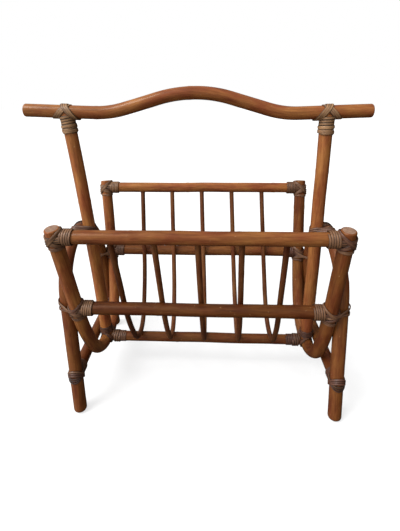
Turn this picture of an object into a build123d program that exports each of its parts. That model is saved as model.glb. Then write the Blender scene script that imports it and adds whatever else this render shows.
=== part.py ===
"""Magazine rack in bent and lashed cane.

Millimetres. X runs along the rails, -Y is the front, +Z is up. The origin is on the floor, under the
middle of the carrying handle. Two bent end frames and the rails between them hold five thin canes,
bent to a V, which are the trough for the magazines. Each end frame hangs inside a leg arch, and a post
rises from its bend to the handle. Every joint is coped, pinned and wrapped with strips of cane peel.

The rack has settled sideways with age: its upper parts stand a little to the left of its feet.
"""
from build123d import *
import os
from math import cos, radians, sin, tan

# ---- Thickness of the canes
POLE = 18.0                # handle, posts, end frames and leg arches
RAIL = 17.0                # top rails, middle rails and stretchers
LOW_RAIL = 15.5
SLAT = 7.5
CUT_ROUND = 2.5            # rounding of the sawn ends

# ---- How the rack stands
SETTLE = 1.8               # degrees that everything leans to the left
FOOT_SHIFT = 15.4          # the feet stand this far right of the handle's middle
END_SPLAY = 2.2            # degrees that each end frame leans outwards
LEG_SPLAY = 1.6            # degrees that each leg arch leans outwards
END_HALF = 160.1           # half the distance between the end frames' planes, at the floor
LEG_HALF = 178.8           # half the distance between the leg arches' planes, at the floor

# ---- End frames: a round bend, a slow bend on each side of it, then straight arms
END_BOTTOM = 49.0          # height of the bend's centre line
END_BENDS = [(70.0, 62.0), (260.0, 17.0)]      # radius and turn, from the middle outwards
ARM_LENGTH = 131.0

# ---- Leg arches
ARCH_TOP = 239.0
ARCH_RADIUS = 78.0
LEG_LEAN = 6.7             # degrees that each leg leans forwards or backwards
STRETCHER_Z = 58.0

# ---- Rails
TOP_RAIL_Z = 274.8
MIDDLE_RAIL_Z = 163.4
LOW_RAIL_Z = 50.0

# ---- Handle: a hump in the middle, and straight grips past the posts
HANDLE_TOP = 437.0         # height of the centre line in the middle
HUMP_RADIUS, HUMP_TURN = 180.0, 16.5
HUMP_SLOPE = 48.0          # straight run on each side of the hump
DIP_RADIUS, DIP_TURN = 130.0, 18.5
GRIP_LENGTH = 97.0
HANDLE_TILT = 0.55         # degrees, right end low
HANDLE_SHIFT = 0.28        # brings the tilted handle's two ends to the same distance from X = 0

# ---- Posts: distance of each end from X = 0, and how far the middle bows to the right
POST_TOP_X = 177.3
POST_FOOT_X = {"left": 148.7, "right": 175.9}
POST_BOW = {"left": 3.0, "right": 0.6}
POST_FOOT_Z = 52.0
POST_TOP_Z = {"left": 411.0, "right": 407.5}

# ---- Slats: canes bent to a V that rests on the low rail and leans on the middle rails
SLAT_COUNT = 5
SLAT_PITCH = 52.3
SLAT_OFFSET = -0.5
SLAT_BENDS = [(45.8, 55.0), (250.0, 18.0)]
SLAT_IN_RAIL = 7.0         # depth of the hole in the top rail

# ---- Lashings: how far each one wraps the canes of its joint, both ways or from one place to another
FIT = 0.1                  # gap between parts that touch
PEEL = 1.7                 # thickness of a lashing
WIDE = 2 * POLE            # more than enough to take in the whole thickness of a cane
HANDLE_WRAP = 14.0
POST_TOP_WRAP = (-26.0, 0.0)
ARCH_WRAP = 16.0
POST_MIDDLE_WRAP = 9.0
LOW_RAIL_WRAP = 31.0
POST_FOOT_WRAP = (4.0, 21.0)
BEND_WRAP = 13.0
RAIL_WRAP = 21.0
TOP_ARM_WRAP = (-15.0, 9.0)
MIDDLE_ARM_WRAP = 12.0
MIDDLE_LEG_WRAP = 11.0
LEG_WRAP_START = 4.0       # the wrap on the leg begins this far outside the arm's centre line
LOW_LEG_WRAP = (-11.0, 9.0)

# ---- Pins
PIN = 1.8
PIN_FIT = 0.05
PIN_DEPTH = 2 * FIT        # a pin's head is this far under the surface
PIN_BITE = 16.0            # how far a pin goes into the end of a butted cane
CROSS_BITE = 5.0           # and how far past the axis of a cane that it crosses
SLAT_BITE = 9.0            # and into a rail under a slat
PIN_ASIDE = 3.0            # two pins in one joint stand this far off its middle
LEG_PIN_Z = 143.0
HANDLE_ON_POST = 2.0       # the handle's centre line is this far above the end of the post's
SUNK = 1.0                 # extra depth of a pin's head under a surface that curves away

SIDES = {"left": -1, "right": 1}
FACES = {"front": -1, "back": 1}


def run(start, heading, steps):
    """A wire in the XY plane of straight runs (0, length) and bends (radius, turn), all tangent."""
    edges = []
    here = Vector(*start)
    way = Vector(cos(radians(heading)), sin(radians(heading)))
    for radius, amount in steps:
        edge = JernArc(here, way, radius, amount) if radius else Line(here, here + way * amount)
        edges.append(edge)
        here = edge @ 1
        way = edge % 1
    return Wire(edges)


def symmetric_run(middle, half):
    """The same, from end to end of a shape whose half runs outwards from its middle."""
    far_end = run(middle, 0, half) @ 1
    whole_turn = sum(turn for radius, turn in half if radius)
    return run((2 * middle[0] - far_end.X, far_end.Y), -whole_turn, half[::-1] + half)


def leaning_plane(floor_x, tilt):
    """An upright plane along Y through floor_x, tilted towards +X by so many degrees."""
    up = Vector(sin(radians(tilt)), 0, cos(radians(tilt)))
    return Plane(origin=(floor_x, 0, 0), x_dir=(0, 1, 0), z_dir=Vector(0, 1, 0).cross(up))


def end_x(side, z):
    """X of an end frame's centre line at a height."""
    return side * END_HALF + FOOT_SHIFT + z * tan(radians(side * END_SPLAY - SETTLE))


def leg_x(side, z):
    """X of a leg arch's centre line at a height."""
    return side * LEG_HALF + FOOT_SHIFT + z * tan(radians(side * LEG_SPLAY - SETTLE))


def slat_x(number, z):
    """X of a slat's centre line at a height."""
    middle = (SLAT_COUNT + 1) / 2
    return SLAT_PITCH * (number - middle) + SLAT_OFFSET + FOOT_SHIFT - z * tan(radians(SETTLE))


def bend_top(bends):
    """How far out and how far up two bends in a row reach, and the slope at their end."""
    out, up, turned = 0.0, 0.0, 0.0
    for radius, turn in bends:
        out += radius * (sin(radians(turned + turn)) - sin(radians(turned)))
        up += radius * (cos(radians(turned)) - cos(radians(turned + turn)))
        turned += turn
    return out, up, 90 - turned


def arm_y(z):
    """Distance from Y = 0 of an end frame's arm, on its straight stretch."""
    out, up, lean = bend_top(END_BENDS)
    return out + (z - END_BOTTOM - up) * tan(radians(lean))


def leg_y(z):
    """Distance from Y = 0 of a leg, on its straight stretch."""
    lean = radians(LEG_LEAN)
    top_out, top_z = ARCH_RADIUS * cos(lean), ARCH_TOP - ARCH_RADIUS + ARCH_RADIUS * sin(lean)
    return top_out + (top_z - z) * tan(lean)


def slat_bottom():
    """Height of a slat's centre line where it rests on the low rail."""
    return LOW_RAIL_Z + LOW_RAIL / 2 + SLAT / 2 + FIT


def slat_y(z):
    """Distance from Y = 0 of a slat's arm, on its straight stretch."""
    out, up, lean = bend_top(SLAT_BENDS)
    return out + (z - slat_bottom() - up) * tan(radians(lean))


# ---- Centre lines --------------------------------------------------------------------------------

def handle_line():
    half = [(HUMP_RADIUS, -HUMP_TURN), (0, HUMP_SLOPE), (DIP_RADIUS, DIP_TURN), (0, GRIP_LENGTH)]
    flat = symmetric_run((0, 0), half)
    return Pos(HANDLE_SHIFT, 0, HANDLE_TOP) * Rot(0, HANDLE_TILT, 0) * (Plane.XZ * flat)


def post_line(name, side):
    foot = Vector(side * POST_FOOT_X[name], 0, POST_FOOT_Z)
    top = Vector(side * POST_TOP_X, 0, POST_TOP_Z[name])
    middle = (foot + top) / 2 + Vector(POST_BOW[name], 0, 0)
    return Wire([ThreePointArc(foot, middle, top)])


def end_frame_line(side):
    flat = symmetric_run((0, END_BOTTOM), END_BENDS + [(0, ARM_LENGTH)])
    return leaning_plane(side * END_HALF + FOOT_SHIFT, side * END_SPLAY - SETTLE) * flat


def leg_arch_line(side):
    turn = 90 - LEG_LEAN
    top_z = ARCH_TOP - ARCH_RADIUS + ARCH_RADIUS * sin(radians(LEG_LEAN))
    past_floor = POLE / 4
    leg = (top_z + past_floor) / cos(radians(LEG_LEAN))
    flat = symmetric_run((0, ARCH_TOP), [(ARCH_RADIUS, -turn), (0, leg)])
    return leaning_plane(side * LEG_HALF + FOOT_SHIFT, side * LEG_SPLAY - SETTLE) * flat


def slat_line(number, into_rail=SLAT_IN_RAIL):
    _, up, lean = bend_top(SLAT_BENDS)
    rise = TOP_RAIL_Z - RAIL / 2 + into_rail - slat_bottom() - up
    flat = symmetric_run((0, slat_bottom()), SLAT_BENDS + [(0, rise / cos(radians(lean)))])
    return leaning_plane(slat_x(number, 0), -SETTLE) * flat


def rail_line(y, z):
    return Wire([Line((end_x(-1, z), y, z), (end_x(1, z), y, z))])


def stretcher_line(side):
    x, y = leg_x(side, STRETCHER_Z), leg_y(STRETCHER_Z)
    return Wire([Line((x, -y, STRETCHER_Z), (x, y, STRETCHER_Z))])


def centre_lines():
    """Every cane's centre line and thickness, by name."""
    lines = {"handle": (handle_line(), POLE)}
    for name, side in SIDES.items():
        lines[name + "_post"] = (post_line(name, side), POLE)
        lines[name + "_end_frame"] = (end_frame_line(side), POLE)
        lines[name + "_leg_arch"] = (leg_arch_line(side), POLE)
        lines[name + "_stretcher"] = (stretcher_line(side), RAIL)
    for name, face in FACES.items():
        lines[name + "_top_rail"] = (rail_line(face * arm_y(TOP_RAIL_Z), TOP_RAIL_Z), RAIL)
        lines[name + "_middle_rail"] = (rail_line(face * arm_y(MIDDLE_RAIL_Z), MIDDLE_RAIL_Z), RAIL)
    lines["bottom_rail"] = (rail_line(0, LOW_RAIL_Z), LOW_RAIL)
    for number in range(1, SLAT_COUNT + 1):
        lines["slat_%d" % number] = (slat_line(number), SLAT)
    return lines


# ---- Solids --------------------------------------------------------------------------------------

def tube(line, thickness):
    return sweep(Plane(line @ 0, z_dir=line % 0) * Circle(thickness / 2), path=line)


def rounded(solid, points, reach=1.0):
    """The solid with its sawn ends rounded; each end's rim is centred on one of the points."""
    rims = [e for e in solid.edges() if any((e.center(CenterOf.MASS) - p).length < reach for p in points)]
    return fillet(rims, CUT_ROUND)


def one_solid(shape):
    """The largest solid of a cut shape."""
    return max(shape.solids(), key=lambda solid: solid.volume)


def canes(lines):
    """Every cane, cut to fit its neighbours."""
    whole = {name: tube(line, thickness) for name, (line, thickness) in lines.items()}
    fitted = dict(whole)

    handle = lines["handle"][0]
    fitted["handle"] = rounded(whole["handle"], [handle @ 0, handle @ 1])

    below_floor = Pos(FOOT_SHIFT, 0, -POLE) * Box(3 * LEG_HALF, 3 * LEG_HALF, 2 * POLE)
    for name, side in SIDES.items():
        frame = lines[name + "_end_frame"][0]
        fitted[name + "_end_frame"] = rounded(whole[name + "_end_frame"], [frame @ 0, frame @ 1])

        feet = [Vector(leg_x(side, 0), face * leg_y(0), 0) for face in FACES.values()]
        arch = rounded(one_solid(whole[name + "_leg_arch"] - below_floor), feet)
        fitted[name + "_leg_arch"] = arch - whole[name + "_end_frame"] - whole[name + "_post"]

        fitted[name + "_post"] = whole[name + "_post"] - whole["handle"] - whole[name + "_end_frame"]
        fitted[name + "_stretcher"] = whole[name + "_stretcher"] - whole[name + "_leg_arch"]

    both_frames = whole["left_end_frame"] + whole["right_end_frame"]
    slots = []
    for number in range(1, SLAT_COUNT + 1):
        slots.append(tube(slat_line(number, SLAT_IN_RAIL + FIT), SLAT + 2 * FIT))
    for face in FACES:
        fitted[face + "_top_rail"] = whole[face + "_top_rail"] - both_frames - slots
        fitted[face + "_middle_rail"] = whole[face + "_middle_rail"] - both_frames
    posts = whole["left_post"] + whole["right_post"]
    fitted["bottom_rail"] = whole["bottom_rail"] - both_frames - posts
    return {name: one_solid(solid) for name, solid in fitted.items()}


# ---- Pins: each is a start point, a direction and a length ---------------------------------------

def pin_places():
    flush = POLE / 2 - PIN_DEPTH
    rail_pin = POLE / 2 + flush + PIN_BITE
    cross_pin = POLE + flush + CROSS_BITE
    slat_pin = SLAT + SLAT_BITE
    places = {"handle_pins": [], "post_foot_pins": [], "arch_pins": [], "bottom_rail_pins": [],
              "top_rail_pins": [], "middle_rail_pins": [], "leg_pins": [], "stretcher_pins": [],
              "slat_pins": []}
    for name, side in SIDES.items():
        inward = (-side, 0, 0)
        start = (side * POST_TOP_X, 0, POST_TOP_Z[name] + HANDLE_ON_POST + flush - SUNK)
        places["handle_pins"].append((start, (0, 0, -1), rail_pin))

        foot_x = end_x(side, END_BOTTOM)
        start = (foot_x, PIN_ASIDE, END_BOTTOM - flush + SUNK)
        places["post_foot_pins"].append((start, (0, 0, 1), rail_pin))
        start = (foot_x + side * (flush - SUNK), -PIN_ASIDE, LOW_RAIL_Z)
        places["bottom_rail_pins"].append((start, inward, rail_pin))

        start = (leg_x(side, ARCH_TOP) + side * flush, 0, ARCH_TOP)
        places["arch_pins"].append((start, inward, cross_pin))

        for face in FACES.values():
            for key, z in (("top_rail_pins", TOP_RAIL_Z), ("middle_rail_pins", MIDDLE_RAIL_Z)):
                start = (end_x(side, z) + side * flush, face * arm_y(z), z)
                places[key].append((start, inward, rail_pin))
            start = (leg_x(side, LEG_PIN_Z) + side * flush, face * leg_y(LEG_PIN_Z), LEG_PIN_Z)
            places["leg_pins"].append((start, inward, cross_pin))
            start = (leg_x(side, STRETCHER_Z), face * (leg_y(STRETCHER_Z) + flush), STRETCHER_Z)
            places["stretcher_pins"].append((start, (0, -face, 0), rail_pin))

    for number in range(1, SLAT_COUNT + 1):
        top = slat_bottom() + SLAT / 2 - PIN_DEPTH
        places["slat_pins"].append(((slat_x(number, top), 0, top), (0, 0, -1), slat_pin))
        for face in FACES.values():
            y = face * (slat_y(MIDDLE_RAIL_Z) - SLAT / 2 + PIN_DEPTH + FIT)
            start = (slat_x(number, MIDDLE_RAIL_Z), y, MIDDLE_RAIL_Z)
            places["slat_pins"].append((start, (0, face, 0), slat_pin))
    return places


def pin(place, extra=0.0):
    start, way, length = place
    upright = Cylinder(PIN / 2 + extra, length + extra, align=(Align.CENTER, Align.CENTER, Align.MIN))
    return Plane(start, z_dir=way) * upright


def drill(solids, places):
    """Cut every pin's hole out of the canes that it passes through."""
    for group in places.values():
        for place in group:
            hole = pin(place, PIN_FIT)
            reach = hole.bounding_box()
            for name, solid in solids.items():
                if reach.overlaps(solid.bounding_box()):
                    solids[name] = one_solid(solid - hole)
    return solids


# ---- Lashings ------------------------------------------------------------------------------------

def around(point, x=WIDE, y=WIDE, z=WIDE):
    """A box about a point. Each reach is a distance both ways, or two distances from the point."""
    spans = [sorted(reach) if isinstance(reach, tuple) else (-reach, reach) for reach in (x, y, z)]
    middle = [place + (low + high) / 2 for place, (low, high) in zip(point, spans)]
    return Pos(*middle) * Box(*[high - low for low, high in spans])


def lashing(lines, wraps, beside=()):
    """Cane peel wound round several canes, each over the stretch inside its own block.

    It is pressed flat where it meets a cane that only passes beside the joint.
    """
    sleeves = []
    inner = [tube(lines[name][0], lines[name][1] + 2 * FIT) for name in beside]
    for name, region in wraps:
        line, thickness = lines[name]
        sleeves.append(tube(line, thickness + 2 * PEEL) & region)
        inner.append(tube(line, thickness + 2 * FIT))
    shell = sleeves[0]
    for sleeve in sleeves[1:]:
        shell = shell + sleeve
    for cane in inner:
        shell = shell - cane
    return one_solid(shell)


def lashings(lines):
    found = {}
    for name, side in SIDES.items():
        post, frame, arch = name + "_post", name + "_end_frame", name + "_leg_arch"

        joint = (side * POST_TOP_X, 0, POST_TOP_Z[name])
        found[name + "_handle_lashing"] = lashing(lines, [
            ("handle", around(joint, x=HANDLE_WRAP)),
            (post, around(joint, z=POST_TOP_WRAP)),
        ])

        joint = (leg_x(side, ARCH_TOP), 0, ARCH_TOP)
        found[name + "_arch_lashing"] = lashing(lines, [
            (arch, around(joint, y=ARCH_WRAP)),
            (post, around(joint, x=2 * WIDE, z=POST_MIDDLE_WRAP)),
        ])

        joint = (end_x(side, END_BOTTOM), 0, END_BOTTOM)
        found[name + "_foot_lashing"] = lashing(lines, [
            ("bottom_rail", around(joint, x=(0.0, -side * LOW_RAIL_WRAP))),
            (post, around(joint, z=POST_FOOT_WRAP)),
            (frame, around(joint, y=BEND_WRAP)),
        ], beside=[name + "_stretcher"])

        for face_name, face in FACES.items():
            corner = "_".join((face_name, name))
            on_rail = (0.0, -side * RAIL_WRAP)

            joint = (end_x(side, TOP_RAIL_Z), face * arm_y(TOP_RAIL_Z), TOP_RAIL_Z)
            found[corner + "_top_lashing"] = lashing(lines, [
                (face_name + "_top_rail", around(joint, x=on_rail)),
                (frame, around(joint, z=TOP_ARM_WRAP)),
            ])

            joint = (end_x(side, MIDDLE_RAIL_Z), face * arm_y(MIDDLE_RAIL_Z), MIDDLE_RAIL_Z)
            on_leg = (side * LEG_WRAP_START, side * 2 * WIDE)
            found[corner + "_middle_lashing"] = lashing(lines, [
                (face_name + "_middle_rail", around(joint, x=on_rail)),
                (frame, around(joint, z=MIDDLE_ARM_WRAP)),
                (arch, around(joint, x=on_leg, z=MIDDLE_LEG_WRAP)),
            ])

            joint = (leg_x(side, STRETCHER_Z), face * leg_y(STRETCHER_Z), STRETCHER_Z)
            found[corner + "_stretcher_lashing"] = lashing(lines, [
                (arch, around(joint, z=LOW_LEG_WRAP)),
                (name + "_stretcher", around(joint, y=(0.0, -face * RAIL_WRAP))),
            ])
    return found


def main():
    lines = centre_lines()
    places = pin_places()
    nodes = drill(canes(lines), places)
    nodes.update(lashings(lines))
    for name, group in places.items():
        nodes[name] = Compound(children=[pin(place).solid() for place in group])
    os.makedirs("parts", exist_ok=True)
    for name, shape in nodes.items():
        export_step(shape, "parts/%s.step" % name)
    whole = Compound(list(nodes.values())).bounding_box()
    print(len(nodes), "nodes, from", whole.min, "to", whole.max)


main()
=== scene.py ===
# %% [markdown]
# # A magazine rack in bent cane
#
# The rack is made of whole canes that were steamed, bent, pinned together, wrapped at every joint with
# strips of cane peel and varnished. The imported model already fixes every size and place, so this lesson
# gives each cane and binding the shape and finish that a hand would feel. All lengths are in metres.

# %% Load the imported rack
import math

import bpy
import numpy as np
from mathutils import Matrix, Vector


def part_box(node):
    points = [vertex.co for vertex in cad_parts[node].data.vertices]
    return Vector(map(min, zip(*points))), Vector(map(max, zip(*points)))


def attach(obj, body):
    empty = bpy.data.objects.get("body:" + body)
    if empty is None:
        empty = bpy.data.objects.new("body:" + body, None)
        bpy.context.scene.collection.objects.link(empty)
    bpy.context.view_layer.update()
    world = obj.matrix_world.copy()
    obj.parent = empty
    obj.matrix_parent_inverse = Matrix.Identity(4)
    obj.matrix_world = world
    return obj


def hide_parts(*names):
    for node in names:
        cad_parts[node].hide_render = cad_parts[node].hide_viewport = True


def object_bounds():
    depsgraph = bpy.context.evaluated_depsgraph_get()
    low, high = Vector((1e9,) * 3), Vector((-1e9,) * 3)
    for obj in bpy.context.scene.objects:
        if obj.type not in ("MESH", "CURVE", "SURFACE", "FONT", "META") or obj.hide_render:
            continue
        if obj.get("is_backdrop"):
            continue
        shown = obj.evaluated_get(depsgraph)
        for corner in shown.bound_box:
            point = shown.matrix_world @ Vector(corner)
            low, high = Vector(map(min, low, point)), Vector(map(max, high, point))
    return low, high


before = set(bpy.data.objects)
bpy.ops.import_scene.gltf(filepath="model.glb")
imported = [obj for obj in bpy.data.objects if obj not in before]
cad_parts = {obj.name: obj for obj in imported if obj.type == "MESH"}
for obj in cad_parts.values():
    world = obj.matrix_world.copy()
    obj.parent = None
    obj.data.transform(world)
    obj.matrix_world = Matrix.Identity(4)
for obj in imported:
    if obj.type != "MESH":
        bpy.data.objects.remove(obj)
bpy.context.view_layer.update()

# %% [markdown]
# ## Where every cane runs
#
# A bent cane is a chain of straight runs and round bends, the same on both sides of its middle. That is
# also how the maker sets up the bending jig. The middle of each cane, the plane it is bent in and the
# runs from its middle outwards are all that is needed. A curve drawn by hand could look the same, but
# these few numbers are the ones that the rack was designed with, so the new canes fall exactly on the
# packed ones.

# %% The sizes of the rack
MM = 0.001
TURN = 2 * math.pi
POLE, RAIL, LOW_RAIL, SLAT = 9.0 * MM, 8.5 * MM, 7.75 * MM, 3.75 * MM
SETTLE, FOOT_SHIFT = 1.8, 15.4 * MM
END_SPLAY, END_HALF, END_BOTTOM = 2.2, 160.1 * MM, 49.0 * MM
END_BENDS = [(70.0 * MM, 62.0), (260.0 * MM, 17.0)]
ARM_LENGTH = 131.0 * MM
LEG_SPLAY, LEG_HALF, LEG_LEAN = 1.6, 178.8 * MM, 6.7
ARCH_TOP, ARCH_RADIUS, STRETCHER_Z = 239.0 * MM, 78.0 * MM, 58.0 * MM
HANDLE_TOP, HANDLE_SHIFT, HANDLE_TILT = 437.0 * MM, 0.28 * MM, 0.55
HANDLE_RUNS = [(180.0 * MM, -16.5), (0, 48.0 * MM), (130.0 * MM, 18.5), (0, 97.0 * MM)]
POST_TOP_X, POST_FOOT_Z = 177.3 * MM, 52.0 * MM
POSTS = {"left": (-148.7 * MM, 411.0 * MM, 3.0 * MM), "right": (175.9 * MM, 407.5 * MM, 0.6 * MM)}
SLAT_PITCH, SLAT_OFFSET, SLAT_BOTTOM = 52.3 * MM, -0.5 * MM, 61.6 * MM
SLAT_BENDS = [(45.8 * MM, 55.0), (250.0 * MM, 18.0)]
SIDES = {"left": -1, "right": 1}
FACES = {"front": -1, "back": 1}
print("canes:", POLE, RAIL, LOW_RAIL, SLAT)

# %% Follow a line of runs and bends
def follow(runs, distance):
    """Across, up and slope at each distance from the middle of a symmetric line."""
    far = np.abs(distance)
    across, up, slope = np.zeros((3, len(far)))
    at_across = at_up = at_slope = start = 0.0
    for radius, amount in runs:
        here = far >= start
        gone = far[here] - start
        if radius:
            way = math.copysign(1.0, amount)
            length = radius * math.radians(abs(amount))
            bent = at_slope + way * gone / radius
            across[here] = at_across + way * radius * (np.sin(bent) - math.sin(at_slope))
            up[here] = at_up + way * radius * (math.cos(at_slope) - np.cos(bent))
            slope[here] = bent
            turned = at_slope + math.radians(amount)
            at_across += way * radius * (math.sin(turned) - math.sin(at_slope))
            at_up += way * radius * (math.cos(at_slope) - math.cos(turned))
            at_slope = turned
        else:
            length = amount
            across[here] = at_across + gone * math.cos(at_slope)
            up[here] = at_up + gone * math.sin(at_slope)
            slope[here] = at_slope
            at_across += amount * math.cos(at_slope)
            at_up += amount * math.sin(at_slope)
        start += length
    side = np.where(distance < 0, -1.0, 1.0)
    return across * side, up, slope * side


def run_length(runs):
    """How long one half of a line is."""
    return sum(radius * math.radians(abs(amount)) if radius else amount for radius, amount in runs)


def unit(vector):
    return np.array(vector, float) / np.linalg.norm(vector)


print("the handle is", round(2 * run_length(HANDLE_RUNS), 3), "m of cane")

# %% A cane's own line
class Line:
    """A planar centre line: its middle, the plane's two directions, its runs and its thickness."""

    def __init__(self, middle, across, up, runs, radius):
        self.middle, self.across, self.up = np.array(middle, float), unit(across), unit(up)
        self.out_of_plane = np.cross(self.across, self.up)
        self.runs, self.radius, self.half = runs, radius, run_length(runs)

    def at(self, distance):
        """Points, directions, and two directions square to the cane, at distances from the middle."""
        distance = np.atleast_1d(np.asarray(distance, float))
        across, up, slope = follow(self.runs, distance)
        point = self.middle + across[:, None] * self.across + up[:, None] * self.up
        cos, sin = np.cos(slope)[:, None], np.sin(slope)[:, None]
        way = cos * self.across + sin * self.up
        square = cos * self.up - sin * self.across
        return point, way, square, np.broadcast_to(self.out_of_plane, point.shape)

    def nearest(self, target):
        """The distance along the cane that lies nearest to a point."""
        tries = np.linspace(-self.half, self.half, 4001)
        return float(tries[np.argmin(np.linalg.norm(self.at(tries)[0] - np.array(target), axis=1))])


def tilted_up(degrees):
    return np.array((math.sin(math.radians(degrees)), 0.0, math.cos(math.radians(degrees))))


def end_x(side, z):
    """X of an end frame at a height."""
    return side * END_HALF + FOOT_SHIFT + z * math.tan(math.radians(side * END_SPLAY - SETTLE))


def leg_x(side, z):
    """X of a leg arch at a height."""
    return side * LEG_HALF + FOOT_SHIFT + z * math.tan(math.radians(side * LEG_SPLAY - SETTLE))


print("end frames at the floor, X:", [round(end_x(side, 0.0), 3) for side in (-1, 1)])

# %% [markdown]
# The straight rails need no numbers of their own: their middles are read from their packed boxes. Each
# rail ends just short of the middle of the cane that it butts against, where its end is hidden.

# %% Lines of all the canes
BURIED = 1.5 * MM
LEG_ABOVE_FLOOR, SLAT_BELOW_TOP, INTO_THE_LEG = 0.55 * MM, 1.0 * MM, 7.0 * MM
lines = {}


def straight_rail(name, radius, ends):
    """A straight rail along X between two places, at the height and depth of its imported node."""
    low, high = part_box(name)
    middle = ((ends[0] + ends[1]) / 2, (low.y + high.y) / 2, (low.z + high.z) / 2)
    lines[name] = Line(middle, (1, 0, 0), (0, 0, 1), [(0, (ends[1] - ends[0]) / 2)], radius)


lines["handle"] = Line((HANDLE_SHIFT, 0, HANDLE_TOP), tilted_up(90 + HANDLE_TILT),
                       tilted_up(HANDLE_TILT), HANDLE_RUNS, POLE)

for name, side in SIDES.items():
    foot_x, top_z, bow = POSTS[name]
    foot, top = np.array((foot_x, 0, POST_FOOT_Z)), np.array((side * POST_TOP_X, 0, top_z))
    chord = np.linalg.norm(top - foot) / 2
    bend_radius = (chord ** 2 + bow ** 2) / (2 * bow)
    upward = unit(top - foot)
    away = np.cross((0, 1, 0), upward)
    half_turn = math.degrees(math.asin(chord / bend_radius))
    lines[name + "_post"] = Line((foot + top) / 2 + away * bow, upward, -away,
                                 [(bend_radius, half_turn)], POLE)

    up = tilted_up(side * END_SPLAY - SETTLE)
    middle = np.array((side * END_HALF + FOOT_SHIFT, 0, 0)) + up * END_BOTTOM
    lines[name + "_end_frame"] = Line(middle, (0, 1, 0), up, END_BENDS + [(0, ARM_LENGTH)], POLE)

    up = tilted_up(side * LEG_SPLAY - SETTLE)
    leg_top = ARCH_TOP - ARCH_RADIUS + ARCH_RADIUS * math.sin(math.radians(LEG_LEAN))
    leg = (leg_top - LEG_ABOVE_FLOOR) / math.cos(math.radians(LEG_LEAN))
    middle = np.array((side * LEG_HALF + FOOT_SHIFT, 0, 0)) + up * ARCH_TOP
    lines[name + "_leg_arch"] = Line(middle, (0, 1, 0), up,
                                     [(ARCH_RADIUS, LEG_LEAN - 90), (0, leg)], POLE)

    low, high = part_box(name + "_stretcher")
    middle = ((low.x + high.x) / 2, 0, (low.z + high.z) / 2)
    lines[name + "_stretcher"] = Line(middle, (0, 1, 0), (0, 0, 1), [(0, high.y + INTO_THE_LEG)], RAIL)

print("lines so far:", sorted(lines))

# %% Lines of the rails and slats
for face in FACES:
    for level in ("top", "middle"):
        low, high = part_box(face + "_" + level + "_rail")
        z = (low.z + high.z) / 2
        straight_rail(face + "_" + level + "_rail", RAIL, (end_x(-1, z) + BURIED, end_x(1, z) - BURIED))

low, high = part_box("bottom_rail")
z = (low.z + high.z) / 2
straight_rail("bottom_rail", LOW_RAIL, (end_x(-1, z) + BURIED, end_x(1, z) - BURIED))

SLATS = 5
up = tilted_up(-SETTLE)
bent_up = follow(SLAT_BENDS, np.array([run_length(SLAT_BENDS)]))[1][0]
slope = math.radians(sum(turn for radius, turn in SLAT_BENDS))
for number in range(1, SLATS + 1):
    x = SLAT_PITCH * (number - (SLATS + 1) / 2) + SLAT_OFFSET + FOOT_SHIFT
    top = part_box("slat_%d" % number)[1].z
    arm = (top - SLAT_BOTTOM - bent_up) / math.sin(slope) - SLAT_BELOW_TOP
    middle = np.array((x, 0, 0)) + up * SLAT_BOTTOM
    lines["slat_%d" % number] = Line(middle, (0, 1, 0), up, SLAT_BENDS + [(0, arm)], SLAT)
for name, line in lines.items():
    print(name, "is", round(2 * line.half, 3), "m long")

# %% [markdown]
# ## A straight cane, before it is bent
#
# A real cane starts straight: round, with a skin that runs along it, sawn square and eased at its ends.
# So the model starts straight too. A cylinder is added at its thickness and length, its end rims are
# bevelled in edit mode, and its long edges are subdivided into rings, so that it can bend. Before it is
# bent, every point keeps its place on the straight cane in an attribute, and the grain of the finish
# reads that attribute. The grain then follows each bend, with no seam round the cane.

# %% Choose edges by their place
def only(picked):
    bpy.ops.object.select_all(action="DESELECT")
    picked.select_set(True)
    bpy.context.view_layer.objects.active = picked


def select_edges(mesh, wanted):
    """In object mode: select only the edges whose two ends pass a test."""
    for face in mesh.polygons:
        face.select = False
    for vertex in mesh.vertices:
        vertex.select = False
    for edge in mesh.edges:
        a, b = (mesh.vertices[i].co for i in edge.vertices)
        edge.select = wanted(a, b)


print("canes to make:", len(lines))

# %% Straight stock
ON_THE_RIM = 1e-6


def straight_stock(name, length, radius, ease, step, round_sides):
    """A straight cane from X = 0 to its length."""
    bpy.ops.mesh.primitive_cylinder_add(vertices=round_sides, radius=radius, depth=length,
                                        end_fill_type="NGON", rotation=(0, math.pi / 2, 0),
                                        location=(length / 2, 0, 0))
    stock = bpy.context.object
    stock.name = name
    bpy.ops.object.transform_apply(location=True, rotation=True, scale=True)
    bpy.ops.object.mode_set(mode="EDIT")
    bpy.ops.mesh.select_mode(type="EDGE")
    for place in (0.0, length):
        bpy.ops.object.mode_set(mode="OBJECT")
        select_edges(stock.data, lambda a, b: max(abs(a.x - place), abs(b.x - place)) < ON_THE_RIM)
        bpy.ops.object.mode_set(mode="EDIT")
        bpy.ops.mesh.bevel(offset=ease, segments=5, affect="EDGES")
    bpy.ops.object.mode_set(mode="OBJECT")
    select_edges(stock.data, lambda a, b: abs(a.x - b.x) > length / 2)
    bpy.ops.object.mode_set(mode="EDIT")
    bpy.ops.mesh.subdivide(number_cuts=max(1, int(length / step)))
    bpy.ops.object.mode_set(mode="OBJECT")
    return stock


def corners(piece):
    """A piece's points as an array."""
    points = np.zeros(len(piece.data.vertices) * 3, np.float32)
    piece.data.vertices.foreach_get("co", points)
    return points.reshape(-1, 3).astype(float)


def set_corners(piece, points):
    piece.data.vertices.foreach_set("co", points.astype(np.float32).ravel())
    piece.data.update()


def remember(piece, straight, tone_and_shade):
    """Keep the straight cane's coordinates, and the piece's tone with its own darkness and painted shade,
    for the finish.
    """
    kept = piece.data.attributes.new("straight", "FLOAT_VECTOR", "POINT")
    kept.data.foreach_set("vector", straight.astype(np.float32).ravel())
    shade = piece.data.attributes.new("tone_and_shade", "FLOAT", "POINT")
    shade.data.foreach_set("value", np.full(len(straight), tone_and_shade, np.float32))


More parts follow.
